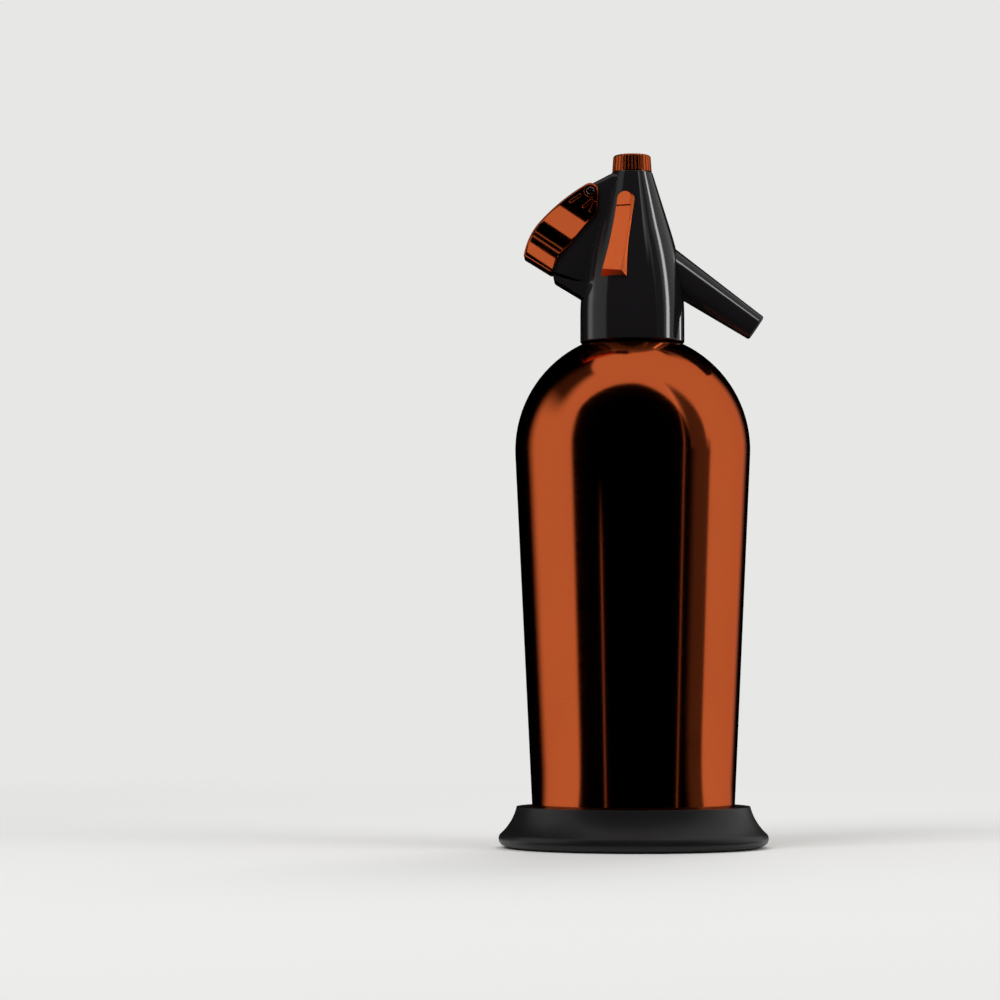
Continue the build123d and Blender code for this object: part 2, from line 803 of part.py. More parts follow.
def make_head_moulding():
    shell = head_form()
    shell = fillet(shell.edges().group_by(Axis.Z)[0], skirt_edge_fillet)
    shell = fillet(shell.edges().group_by(Axis.Z)[-1], crown_fillet)
    body = shell + lever_arm() + arm_bridge() + ledge()
    for bore in head_bores():
        body -= bore
    holes = Rot(0, 0, -bar_turn) * bar_studs(seat_gap)
    return body - holes - mirror(holes, Plane.XZ)


def make_skirt_insert():
    body = ring(insert_radius, insert_bore, insert_low_z, ceiling_z)
    ribs = insert_ribs_ring(0) - ring(insert_bore + insert_wall / 2, 0, 0, crown_z)
    return (
        body
        + ribs
        + thread(
            insert_bore,
            neck_thread_depth,
            neck_thread_pitch,
            neck_thread_ridge,
            neck_nut_turns,
            neck_thread_low + neck_thread_pitch / 2,
            inward=True,
        )
    )


# ---------------------------------------------------------------- valve
def make_stem_guide():
    body = ring(guide_radius, stem_radius + run_gap, guide_outer_end, guide_inner_end)
    gland = ring(seal_radius + seat_gap, 0, guide_inner_end - seal_depth, guide_inner_end + overlap)
    return on_valve(body - gland)


def make_stem_seal():
    """An O-ring round the stem."""
    inner = stem_radius + run_gap
    section = (seal_radius - inner) / 2
    middle = guide_inner_end - seal_depth / 2
    return on_valve(Pos(0, 0, middle) * Torus(inner + section, section))


def make_valve_seat():
    body = ring(seat_radius, seat_bore_radius, seat_start, seat_face)
    return on_valve(body + ring(seat_lip_radius, seat_bore_radius, seat_face, seat_face + seat_lip))


def make_valve_stem():
    rod = ring(stem_radius, 0, stem_start, washer_start) + Pos(0, 0, stem_start) * Sphere(stem_radius)
    return on_valve(rod + ring(stem_tail_radius, 0, washer_start, spring_start + tail_nut_nose))


def make_valve_washer():
    return on_valve(
        ring(valve_washer_radius, stem_tail_radius + seat_gap, washer_start, tail_nut_start)
    )


def make_stem_nut():
    flange = ring(tail_nut_radius, 0, tail_nut_start, spring_start)
    nose = ring(tail_nut_nose_radius, 0, spring_start, spring_start + tail_nut_nose)
    return on_valve(flange + nose - ring(stem_tail_radius + seat_gap, 0, seat_face, spigot_end))


def make_valve_spring():
    return on_valve(coil(spring_radius, spring_wire, spring_turns, spring_start, spigot_end))


# ---------------------------------------------------------------- spout
def make_spout():
    root = (spout_root_radius, spout_root)
    tip = (spout_tip_radius, spout_tip)
    barrel = turned(Polyline((0, spout_root), root, tip, (0, spout_tip), close=True))
    barrel = fillet(barrel.edges().group_by(Axis.Z)[-1], spout_edge_fillet)
    barrel = on_valve(barrel) - head_form(seat_gap)
    bores = (
        ring(pocket_radius, 0, 0, spigot_end)
        + ring(spout_bore_radius, 0, 0, spout_tip)
        + ring(spout_mouth_radius, 0, spout_tip - spout_mouth_depth, spout_tip + overlap)
    )
    return barrel + on_valve(ring(seat_radius, 0, seat_face, spigot_end + overlap)) - on_valve(bores)


def make_flow_straightener():
    """A perforated plug behind the spout's mouth that calms the jet."""
    end = spout_tip - spout_mouth_depth
    plug = ring(spout_bore_radius - seat_gap, 0, end - straightener_length, end)
    hole = Pos(0, 0, end - straightener_length / 2) * Cylinder(
        straightener_hole_radius, 2 * straightener_length
    )
    holes = PolarLocations(straightener_hole_circle, straightener_holes) * hole
    return on_valve(plug - hole - holes)


# ---------------------------------------------------------------- lever
def lever_pressings():
    """The boss round the pin and the ribs on each ear, as rods and slabs from cheek to cheek."""
    boss = cross_rod(lever_boss_radius, pin_place, lever_width + 2 * lever_boss_rise)
    for start, end in lever_ribs:
        run = (end[0] - start[0], end[1] - start[1])
        place = Pos(pin_x + (start[0] + end[0]) / 2, pin_z + (start[1] + end[1]) / 2)
        slot = SlotCenterToCenter(hypot(*run), 2 * lever_rib_radius, degrees(atan2(run[1], run[0])))
        rib = extrude(Plane.XZ * (place * slot), lever_width / 2 + lever_rib_rise, both=True)
        ends = rib.edges().group_by(Axis.Y)
        boss += fillet(ends[0] + ends[-1], lever_rib_rise / 2)
    return boss


def make_lever():
    """A pressed channel: two cheeks with ears for the pin, joined along its curved back."""
    corner = (pin_x + lever_corner_x, pin_z + lever_corner_z)
    knee = (pin_x + lever_knee_x, pin_z + lever_knee_z)
    toe = (pin_x + lever_toe_x, pin_z + lever_toe_z)
    back = lever_back()
    front = FilletPolyline(
        polar(pin_place, lever_ear_radius, lever_front_angle),
        corner,
        knee,
        toe,
        back[1] @ 1,
        radius=[lever_corner_fillet, lever_knee_fillet, lever_toe_fillet],
    )
    ear = arc(pin_place, lever_ear_radius, lever_front_angle, lever_back_start)
    blank = slab(lever_width, front, ear, *back)
    rims = [edge for edge in blank.edges() if abs(edge.center().Y) > lever_width / 2 - seat_gap]
    blank = fillet(rims, lever_edge_fillet) + lever_pressings()
    inside = lever_back(lever_wall, run_on=lever_mouth_turn)
    channel = slab(
        lever_width - 2 * lever_wall,
        *inside,
        Polyline(inside[1] @ 1, (0, ceiling_z), (0, crown_z), pin_place, inside[0] @ 0),
    )
    slot = cross_rod(lever_slot_radius, pin_place, lever_width - 2 * lever_wall)
    return blank - channel - slot - cross_rod(pin_radius + run_gap, pin_place, 2 * lever_width)


def make_lever_pin():
    pin = cross_rod(pin_radius, pin_place, lever_width + 2 * pin_proud)
    return fillet(pin.edges(), pin_proud / 2)


# ---------------------------------------------------------------- charging inlet and cap
def make_inlet():
    """The turned fitting that a charger's neck enters and the cap screws on to."""
    flange_top = crown_z + inlet_flange_height
    body = turned(
        Polyline(
            (check_bore_radius, inlet_low_z),
            (inlet_radius, inlet_low_z),
            (inlet_radius, crown_z),
            (inlet_flange_radius, crown_z),
            (inlet_flange_radius, flange_top),
            (inlet_thread_root, flange_top),
            (inlet_thread_root, inlet_top_z),
            (charger_neck_radius, inlet_top_z),
            (charger_neck_radius, charger_seat_z),
            (pierce_radius + seat_gap, charger_seat_z),
            (pierce_radius + seat_gap, pierce_low_z),
            (check_port_radius, pierce_low_z),
            (check_port_radius, check_seat_z),
            (check_bore_radius, check_seat_z),
            close=True,
        )
    )
    return body + thread(
        inlet_thread_root,
        inlet_thread_depth,
        inlet_thread_pitch,
        inlet_thread_ridge,
        inlet_thread_turns,
        inlet_thread_low,
    )


def make_piercing_pin():
    """A hollow needle: its tip opens the charger and its bore lets the gas down."""
    return turned(
        Polyline(
            (pierce_bore_radius, pierce_low_z),
            (pierce_radius, pierce_low_z),
            (pierce_radius, pierce_tip_z - pierce_cone),
            (pierce_bore_radius + seat_gap, pierce_tip_z),
            (pierce_bore_radius, pierce_tip_z),
            close=True,
        )
    )


def make_charger_seal():
    return ring(
        charger_neck_radius - seat_gap,
        charger_seal_inner,
        charger_seat_z,
        charger_seat_z + charger_seal_thickness,
    )


def make_check_ball():
    return Pos(0, 0, ball_z) * Sphere(check_ball_radius)


def make_check_spring():
    return coil(
        check_spring_radius, check_wire, check_spring_turns, check_plug_top, check_spring_top
    )


def make_check_plug():
    return ring(check_bore_radius - seat_gap, check_port_radius, inlet_low_z, check_plug_top)


def make_cap():
    """The knurled cap, with a thread and room for the inlet's flange inside."""
    low = (cap_radius, cap_low_z)
    high = (cap_top_radius, cap_top_z)
    knob = turned(Polyline((0, cap_low_z), low, high, (0, cap_top_z), close=True))
    knob = fillet(knob.edges().group_by(Axis.Z)[-1], cap_fillet)
    lean = degrees(atan2(cap_radius - cap_top_radius, cap_top_z - cap_low_z))
    flute = Pos(cap_radius + cap_flute_radius / 2, 0, cap_low_z) * Rot(0, -lean, 0) * Cylinder(
        cap_flute_radius, 3 * (cap_top_z - cap_low_z)
    )
    knob -= PolarLocations(0, cap_flutes) * flute
    knob -= ring(cap_bore, 0, cap_low_z - overlap, cap_ceiling_z)
    knob -= ring(cap_counterbore_radius, 0, cap_low_z - overlap, cap_counterbore_z)
    return knob + thread(
        cap_bore,
        inlet_thread_depth,
        inlet_thread_pitch,
        inlet_thread_ridge,
        cap_nut_turns,
        inlet_thread_low + inlet_thread_pitch / 2,
        inward=True,
    )


def make_cap_liner():
    return ring(cap_bore - liner_gap, 0, cap_ceiling_z - liner_thickness, cap_ceiling_z)


# ---------------------------------------------------------------- every piece, by its name
near_bar = make_side_bar()
pieces = {
    "bottle": make_bottle(),
    "neck_ring": make_neck_ring(),
    "base": make_base(),
    "foot_ring": make_foot_ring(),
    "base_pad": make_base_pad(),
    "base_stud": make_base_stud(),
    "base_washer": make_base_washer(),
    "base_nut": make_base_nut(),
    "dip_tube": make_dip_tube(),
    "tube_flange": make_tube_flange(),
    "neck_gasket": make_neck_gasket(),
    "head_moulding": make_head_moulding(),
    "skirt_insert": make_skirt_insert(),
    "stem_guide": make_stem_guide(),
    "stem_seal": make_stem_seal(),
    "valve_seat": make_valve_seat(),
    "valve_stem": make_valve_stem(),
    "valve_washer": make_valve_washer(),
    "stem_nut": make_stem_nut(),
    "valve_spring": make_valve_spring(),
    "spout": make_spout(),
    "flow_straightener": make_flow_straightener(),
    "lever": make_lever(),
    "lever_pin": make_lever_pin(),
    "side_bar_right": near_bar,
    "side_bar_left": mirror(near_bar, Plane.XZ),
    "charging_inlet": make_inlet(),
    "piercing_pin": make_piercing_pin(),
    "charger_seal": make_charger_seal(),
    "check_ball": make_check_ball(),
    "check_spring": make_check_spring(),
    "check_plug": make_check_plug(),
    "charging_cap": make_cap(),
    "cap_liner": make_cap_liner(),
}
os.makedirs("parts", exist_ok=True)
for name, piece in pieces.items():
    export_step(piece, f"parts/{name}.step")
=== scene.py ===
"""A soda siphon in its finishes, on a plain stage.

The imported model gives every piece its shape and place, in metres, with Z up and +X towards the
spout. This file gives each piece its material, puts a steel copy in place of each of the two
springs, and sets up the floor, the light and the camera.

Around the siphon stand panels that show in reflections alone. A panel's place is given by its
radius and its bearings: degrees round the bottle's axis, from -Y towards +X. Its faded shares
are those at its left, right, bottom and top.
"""

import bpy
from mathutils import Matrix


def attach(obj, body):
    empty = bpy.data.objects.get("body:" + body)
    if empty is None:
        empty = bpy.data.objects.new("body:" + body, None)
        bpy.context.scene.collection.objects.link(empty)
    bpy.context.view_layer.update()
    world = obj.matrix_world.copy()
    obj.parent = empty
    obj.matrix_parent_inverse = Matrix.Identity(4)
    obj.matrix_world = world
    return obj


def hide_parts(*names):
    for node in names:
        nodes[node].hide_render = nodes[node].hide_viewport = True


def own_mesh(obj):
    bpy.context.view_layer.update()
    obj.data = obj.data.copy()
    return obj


bl_info = {
    "name": "Soda siphon",
    "version": (1, 0, 0),
    "blender": (4, 5, 0),
    "location": "3D View > Sidebar > Siphon",
    "description": "Finishes and stage for a soda siphon with a squeeze lever",
    "category": "Object",
}

from math import acos, cos, pi, radians, sin, tan

import bpy
from mathutils import Vector

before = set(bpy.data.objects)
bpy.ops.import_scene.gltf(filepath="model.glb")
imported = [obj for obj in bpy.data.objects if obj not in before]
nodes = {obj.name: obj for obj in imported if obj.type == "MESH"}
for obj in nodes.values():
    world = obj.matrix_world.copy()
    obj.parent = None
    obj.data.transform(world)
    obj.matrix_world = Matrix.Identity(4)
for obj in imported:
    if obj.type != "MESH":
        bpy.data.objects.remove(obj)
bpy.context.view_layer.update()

# ---------------------------------------------------------------- places on the siphon
PIN = Vector((-0.0184, 0.0, 0.2896))  # middle of the lever's pin
CHEEK = 0.0098  # from the middle plane to the lever's cheek
LEVER_RUN = Vector((-0.56, 0.0, -0.829))  # along the lever, from its pin
SPOUT_SLOPE = radians(34.5)  # of the valve's axis and the spout's, downwards
VALVE_AXIS = Vector((cos(SPOUT_SLOPE), 0.0, -sin(SPOUT_SLOPE)))  # towards the spout

# ---------------------------------------------------------------- surfaces
PATCH_RANGE = (0.3, 0.7)  # where nearly all the values of cloudy patches lie
METAL_PATCH = 0.9  # tone of a metal's darker patches, as a share of its own
MOULDED_PATCH = 0.8  # the same for plastic and rubber
HAZE_DETAIL = 6.0  # detail of the smudges that change the roughness
SKIN_DETAIL = 2.0  # detail of a moulding's skin
WAVE_PERIOD = pi / 10  # of Blender's wave texture at a scale of 1
TURNING_PITCH = 0.0002  # between the fine ridges that turning leaves
FINE_EDGE = 0.0001  # softness of the small pieces' edges
METAL_EDGE = 0.0002  # softness of the larger metal pieces' edges
EDGE_SAMPLES = 4

# ---------------------------------------------------------------- the stage
FRONT_PANELS = (  # bearings, arch's foot, its angles ahead and at the right, fades, darkness
    ("front", -61, 64, 0.2, (64, 52), (0.04, 0.08, 0, 0.12), 1.0),
    ("shade", 50, 79, 0.27, (72, 73), (0.2, 0.1, 0, 0.35), 0.88),
)
FRONT_STEP = 0.01  # from each front panel inwards to the next
BACK_PANELS = (  # bearings, top, faded shares
    ("left", -184, -104, 1.2, (0, 0.22, 0, 0.1)),
    ("right", 130, 184, 1.2, (0.3, 0, 0, 0.1)),
)
SHOULDER_PLACE = (-126, -72, 0.35, 1.2)  # bearings, bottom and top of the high panel at the left
SHOULDER_FADES = (0, 0.34, 0.28, 0.1)
SHOULDER_DARKNESS = 0.93
PANEL_STEPS = 32  # quads across a curved panel or an apron
ARCH_STEPS = 64  # quads across an arched panel
APRON_START = 0.062  # radius where the dark aprons begin, just outside the foot
APRON_HEIGHT = 0.0015  # of the first apron above the floor
APRON_STEP = 0.0005  # from each front panel's apron up to the next
BRIGHT_STRIPS = (  # receiver, radius, bearings, bottom and top, brightness, faded shares
    ("bottle_left", "bottle", 0.15, -27.6, -25.6, 0.0, 0.16, 0.3, (0.3, 0.3, 0, 0.3)),
    ("bottle_right", "bottle", 0.15, 41.8, 43.6, 0.0, 0.45, 0.3, (0.3, 0.3, 0, 0.3)),
    ("head_line", "head_moulding", 0.48, 78, 90, 0.15, 1.1, 13.0, (0.3, 0.3, 0.05, 0.2)),
    ("head_faint", "head_moulding", 0.48, 36, 46, 0.45, 1.1, 2.0, (0.4, 0.4, 0.3, 0.2)),
    ("skirt_left", "head_moulding", 0.48, -116, -92, 0.15, 0.42, 1.0, (0.4, 0.4, 0.05, 0.3)),
    ("skirt_right", "head_moulding", 0.48, 127, 134, 0.15, 0.42, 6.0, (0.3, 0.3, 0.05, 0.3)),
)
LEVER_BANDS = (  # bright bands mirrored in the lever: start and end from the pin, brightness
    (0.0129, 0.0224, 0.8),
    (0.0282, 0.0287, 0.4),
    (0.0303, 0.0309, 0.5),
    (0.0336, 0.0381, 0.8),
)
LEVER_BAND_WIDTH = 0.06
FLOOR_STEPS = (64, 8)  # quads round the floor and from its middle out
FLOOR_TONES = (1.01, 1.025)  # the floor's two tones, as shares of the backdrop's
FLOOR_FADE_START = 0.15  # share of the floor's radius where its fading begins
AMBIENT_LIGHT = 0.45
LAMP_TARGET = Vector((0.0, 0.0, 0.15))
CAMERA_AIM = Vector((-0.0588, 0.0, 0.1533))
CAMERA_LENS = 118.0  # mm
CAMERA_SENSOR = 36.0  # mm


# ---------------------------------------------------------------- what a user would change
def colour(name, description, default):
    """A colour that a user can change."""
    return bpy.props.FloatVectorProperty(
        name=name,
        description=description,
        subtype="COLOR",
        size=3,
        min=0.0,
        max=1.0,
        default=default,
    )


def length(name, description, default):
    """A length that a user can change."""
    return bpy.props.FloatProperty(
        name=name, description=description, unit="LENGTH", default=default
    )


class SiphonColours(bpy.types.PropertyGroup):
    """Colours of the finishes, as they look in plain light"""

    metal: colour(
        "Orange metal", "Anodised metal of the bottle, lever, side bars and cap", (0.60, 0.11, 0.03)
    )
    black: colour(
        "Black moulding", "Glossy plastic of the head, spout and foot", (0.010, 0.009, 0.010)
    )
    rubber: colour("Rubber", "Foot ring and the pad under the bottle", (0.03, 0.03, 0.03))
    seal: colour("Seal rubber", "Gasket, O-ring, valve washer and liner", (0.08, 0.07, 0.06))
    white: colour(
        "White plastic", "Dip tube, flange, valve seat and flow straightener", (0.86, 0.85, 0.80)
    )
    brass: colour("Brass", "Inlet, guide, stem nut and check plug", (0.78, 0.60, 0.28))
    steel: colour("Steel", "Pins, stem, springs, ball and the foot's fixings", (0.62, 0.62, 0.62))
    machined: colour(
        "Machined aluminium", "Threaded neck ring and skirt insert", (0.78, 0.78, 0.79)
    )
    backdrop: colour(
        "Backdrop", "Pale tone of the background and of the floor far away", (0.80, 0.80, 0.785)
    )


class SiphonSizes(bpy.types.PropertyGroup):
    """Sizes of the surface detail and of the stage"""

    spin_pitch: length(
        "Spinning marks", "Distance between the faint rings that spinning leaves", 0.0006
    )
    soft_edge: length("Edge softness", "Radius to which sharp edges are shaded", 0.0003)
    camera_distance: length("Camera distance", "From the bottle's axis to the camera", 1.45)
    camera_height: length("Camera height", "Above the table", 0.072)
    floor_radius: length("Floor radius", "Where the floor has faded into the backdrop", 1.2)
    panel_radius: length("Panel radius", "From the bottle's axis to the dark panels", 0.5)
    lever_panel_gap: length(
        "Lever panel gap", "From the lever's cheeks to the bands that they mirror", 0.035
    )


# ---------------------------------------------------------------- building materials
def add(tree, kind, values=None, **settings):
    """A shader node with its settings, and its inputs set or linked by name or number."""
    node = tree.nodes.new(kind)
    for name, value in settings.items():
        setattr(node, name, value)
    for socket, value in (values or {}).items():
        if isinstance(value, bpy.types.NodeSocket):
            tree.links.new(value, node.inputs[socket])
        else:
            node.inputs[socket].default_value = value
    return node


def new_finish(name, **fixed):
    """An empty material: its tree, its Principled shader and its place in the piece's own space."""
    material = bpy.data.materials.new(name)
    material.use_nodes = True
    tree = material.node_tree
    tree.nodes.clear()
    output = tree.nodes.new("ShaderNodeOutputMaterial")
    shader = tree.nodes.new("ShaderNodeBsdfPrincipled")
    tree.links.new(shader.outputs["BSDF"], output.inputs["Surface"])
    for socket, value in fixed.items():
        shader.inputs[socket.replace("_", " ")].default_value = value
    place = tree.nodes.new("ShaderNodeTexCoord").outputs["Object"]
    return material, tree, shader, place


def patches(tree, place, size, detail=3.0):
    """Cloudy patches from 0 to 1; size is one length, or one for each axis."""
    lengths = size if isinstance(size, tuple) else (size, size, size)
    scaled = add(
        tree, "ShaderNodeMapping", {"Vector": place, "Scale": [1 / each for each in lengths]}
    )
    noise = add(
        tree, "ShaderNodeTexNoise", {"Vector": scaled.outputs[0], "Scale": 1.0, "Detail": detail}
    )
    return noise.outputs["Fac"]


def rings(tree, place, pitch, wander):
    """Ridges across Z that wander a little, as turning leaves them."""
    wave = add(
        tree,
        "ShaderNodeTexWave",
        {"Vector": place, "Scale": WAVE_PERIOD / pitch, "Distortion": wander, "Detail Scale": 0.5},
        wave_type="BANDS",
        bands_direction="Z",
    )
    return wave.outputs["Fac"]


def spread(tree, cloud, low, high):
    """Cloudy patches mapped to low..high."""
    start, end = PATCH_RANGE
    node = add(
        tree,
        "ShaderNodeMapRange",
        {"Value": cloud, "From Min": start, "From Max": end, "To Min": low, "To Max": high},
    )
    return node.outputs["Result"]


def tinted(tree, value, first, second):
    """A colour between two colours, as a value goes from 0 to 1."""
    node = add(tree, "ShaderNodeMix", {0: value, 6: (*first, 1.0), 7: (*second, 1.0)})
    node.data_type = "RGBA"
    return node.outputs[2]


def raised(tree, height, depth, under):
    """A surface normal for a height from 0 to 1 that stands up by a depth on what is under it."""
    node = add(tree, "ShaderNodeBump", {"Height": height, "Distance": depth, "Normal": under})
    return node.outputs["Normal"]


def softened(tree, radius):
    """A surface normal that rounds the sharp edges."""
    return add(tree, "ShaderNodeBevel", {"Radius": radius}, samples=EDGE_SAMPLES).outputs["Normal"]


def toned(tone, share):
    """A colour times a share."""
    return tuple(channel * share for channel in tone)


def turned(wander, depth, pitch=TURNING_PITCH):
    """The marks of turning, for a metal finish."""

    def marks(tree, place):
        yield rings(tree, place, pitch, wander), depth

    return marks


def metal_finish(name, tone, roughness, patch, smudge, marks, edge):
    """Anodised or plain metal: toned in patches, smudged, with marks and soft edges.

    roughness is its range; patch and smudge are lengths; marks gives heights and depths.
    """
    rim = tuple((channel + 1.0) / 2 for channel in tone)
    material, tree, shader, place = new_finish(name, Metallic=1.0, Specular_Tint=(*rim, 1.0))
    cloud = patches(tree, place, patch)
    link = tree.links.new
    link(tinted(tree, cloud, toned(tone, METAL_PATCH), tone), shader.inputs["Base Color"])
    haze = patches(tree, place, smudge, HAZE_DETAIL)
    link(spread(tree, haze, *roughness), shader.inputs["Roughness"])
    normal = softened(tree, edge)
    for height, depth in marks(tree, place):
        normal = raised(tree, height, depth, normal)
    link(normal, shader.inputs["Normal"])
    return material


def moulded_finish(name, tone, roughness, patch, skin, edge, shine=0.5):
    """Moulded plastic or rubber: faint patches and a fine skin, given by its length and depth."""
    material, tree, shader, place = new_finish(name, Specular_IOR_Level=shine)
    cloud = patches(tree, place, patch)
    link = tree.links.new
    link(tinted(tree, cloud, toned(tone, MOULDED_PATCH), tone), shader.inputs["Base Color"])
    haze = patches(tree, place, patch / 2, HAZE_DETAIL)
    link(spread(tree, haze, *roughness), shader.inputs["Roughness"])
    fineness, depth = skin
    grain = patches(tree, place, fineness, SKIN_DETAIL)
    link(raised(tree, grain, depth, softened(tree, edge)), shader.inputs["Normal"])
    return material


def settings():
    """The colours and the sizes that the scene holds."""
    scene = bpy.context.scene
    return scene.siphon_colours, scene.siphon_sizes


def dress(material, *names):
    """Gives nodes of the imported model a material."""
    for name in names:
        node = nodes[name]
        node.data.materials.clear()
        node.data.materials.append(material)


def soft_spring(name):
    """A steel copy of a packed spring that takes its place on the head; the spring itself is
    hidden.
    """
    spring = bpy.data.objects.new(name + "_coil", nodes[name].data.copy())
    bpy.context.scene.collection.objects.link(spring)
    spring.data.materials.clear()
    spring.data.materials.append(steel_finish(name + "_wire"))
    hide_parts(name)
    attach(spring, "head")
    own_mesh(spring)


# ---------------------------------------------------------------- the pieces' finishes
def dress_bottle():
    """The bottle: spun metal, hazed in faint rings, very slightly uneven."""
    colours, sizes = settings()

    def marks(tree, place):
        yield patches(tree, place, (0.06, 0.06, 0.02), detail=1.0), 4e-6

    finish = metal_finish(
        "spun_bottle_metal",
        tuple(colours.metal),
        roughness=(0.08, 0.13),
        patch=0.05,
        smudge=(0.04, 0.04, sizes.spin_pitch),
        marks=marks,
        edge=METAL_EDGE,
    )
    dress(finish, "bottle")


def dress_foot():
    """The foot and what holds it: satin black moulding, rubber and plain steel."""
    colours, sizes = settings()
    moulding = moulded_finish(
        "foot_moulding",
        tuple(colours.black),
        roughness=(0.34, 0.44),
        patch=0.03,
        skin=(0.0009, 4e-6),
        edge=sizes.soft_edge,
        shine=0.3,
    )
    dress(moulding, "base")
    rubber = moulded_finish(
        "foot_rubber",
        tuple(colours.rubber),
        roughness=(0.55, 0.75),
        patch=0.01,
        skin=(0.0006, 1.5e-5),
        edge=sizes.soft_edge,
    )
    dress(rubber, "foot_ring", "base_pad")
    dress(steel_finish("foot_steel"), "base_stud", "base_washer", "base_nut")


def black_moulding(name):
    """Glossy black plastic."""
    colours, sizes = settings()
    return moulded_finish(
        name,
        tuple(colours.black),
        roughness=(0.06, 0.11),
        patch=0.03,
        skin=(0.002, 1e-6),
        edge=sizes.soft_edge,
        shine=0.3,
    )


def steel_finish(name):
    """Drawn or turned steel."""
    colours, _ = settings()
    return metal_finish(
        name,
        tuple(colours.steel),
        roughness=(0.22, 0.34),
        patch=0.004,
        smudge=0.0013,
        marks=turned(wander=3.0, depth=1e-6),
        edge=FINE_EDGE,
    )


def brass_finish(name):
    """Turned brass."""
    colours, _ = settings()
    return metal_finish(
        name,
        tuple(colours.brass),
        roughness=(0.2, 0.32),
        patch=0.004,
        smudge=0.0013,
        marks=turned(wander=2.0, depth=1e-6),
        edge=FINE_EDGE,
    )


def seal_finish(name):
    """Satin seal rubber."""
    colours, _ = settings()
    return moulded_finish(
        name,
        tuple(colours.seal),
        roughness=(0.4, 0.55),
        patch=0.004,
        skin=(0.0004, 4e-6),
        edge=FINE_EDGE,
    )


def white_finish(name):
    """Natural white plastic."""
    colours, _ = settings()
    return moulded_finish(
        name,
        tuple(colours.white),
        roughness=(0.35, 0.5),
        patch=0.01,
        skin=(0.0008, 3e-6),
        edge=FINE_EDGE,
    )


def dress_dip_tube():
    """The dip tube with its flange and gasket."""
    dress(white_finish("tube_plastic"), "dip_tube", "tube_flange")
    dress(seal_finish("gasket_rubber"), "neck_gasket")


def dress_threads():
    """The neck ring and the skirt insert, in plain machined aluminium."""
    colours, _ = settings()
    finish = metal_finish(
        "machined_aluminium",
        tuple(colours.machined),
        roughness=(0.25, 0.38),
        patch=0.008,
        smudge=0.003,
        marks=turned(wander=2.0, depth=1.5e-6, pitch=0.00025),
        edge=METAL_EDGE,
    )
    dress(finish, "neck_ring", "skirt_insert")


def dress_head():
    """The head."""
    dress(black_moulding("head_moulding_black"), "head_moulding")


def dress_spout():
    """The spout and the perforated plug in it."""
    dress(black_moulding("spout_black"), "spout")
    dress(white_finish("straightener_plastic"), "flow_straightener")


def dress_valve():
    """The valve in the head, with a copy of its spring."""
    dress(steel_finish("stem_steel"), "valve_stem")
    soft_spring("valve_spring")
    dress(brass_finish("valve_brass"), "stem_guide", "stem_nut")
    dress(seal_finish("valve_rubber"), "stem_seal", "valve_washer")
    dress(white_finish("seat_plastic"), "valve_seat")


def dress_lever():
    """The squeeze lever, bright and a little uneven from pressing, and its pin."""
    colours, sizes = settings()

    def marks(tree, place):
        yield patches(tree, place, 0.012, detail=1.0), 3e-6
        yield patches(tree, place, (0.0006, 0.004, 0.0006), detail=1.0), 1.5e-7

    finish = metal_finish(
        "pressed_lever_metal",
        tuple(colours.metal),
        roughness=(0.035, 0.06),
        patch=0.02,
        smudge=0.006,
        marks=marks,
        edge=sizes.soft_edge,
    )
    dress(finish, "lever")
    dress(steel_finish("pin_steel"), "lever_pin")


def dress_side_bars():
    """The bright bars on the head's sides, brushed along their length."""
    colours, _ = settings()

    def marks(tree, place):
        yield patches(tree, place, (0.0002, 0.0002, 0.006), detail=2.0), 2e-7

    finish = metal_finish(
        "side_bar_metal",
        tuple(colours.metal),
        roughness=(0.27, 0.32),
        patch=0.01,
        smudge=(0.0005, 0.0005, 0.012),
        marks=marks,
        edge=METAL_EDGE,
    )
    dress(finish, "side_bar_right", "side_bar_left")


def dress_inlet():
    """The gas inlet, its needle and its non-return valve, with a copy of its spring."""
    dress(brass_finish("inlet_brass"), "charging_inlet", "check_plug")
    dress(steel_finish("inlet_steel"), "piercing_pin", "check_ball")
    soft_spring("check_spring")
    dress(seal_finish("inlet_rubber"), "charger_seal")


def dress_cap():
    """The knurled cap and its liner."""
    colours, _ = settings()
    finish = metal_finish(
        "turned_cap_metal",
        tuple(colours.metal),
        roughness=(0.14, 0.22),
        patch=0.006,
        smudge=0.002,
        marks=turned(wander=1.0, depth=8e-7),
        edge=METAL_EDGE,
    )
    dress(finish, "charging_cap")
    dress(seal_finish("liner_rubber"), "cap_liner")


# ---------------------------------------------------------------- building the stage
def sheet_mesh(name, across, up, point):
    """A grid of quads, with point(u, v) as its corners; u and v go from 0 to 1 and are its UVs."""
    corners = [point(i / across, j / up) for j in range(up + 1) for i in range(across + 1)]
    row = across + 1
    faces = [
        (j * row + i, j * row + i + 1, (j + 1) * row + i + 1, (j + 1) * row + i)
        for j in range(up)
        for i in range(across)
    ]
    mesh = bpy.data.meshes.new(name)
    mesh.from_pydata(corners, [], faces)
    layer = mesh.uv_layers.new(name="UVMap")
    for loop in mesh.loops:
        j, i = divmod(loop.vertex_index, row)
        layer.data[loop.index].uv = (i / across, j / up)
    thing = bpy.data.objects.new(name, mesh)
    bpy.context.scene.collection.objects.link(thing)
    return thing


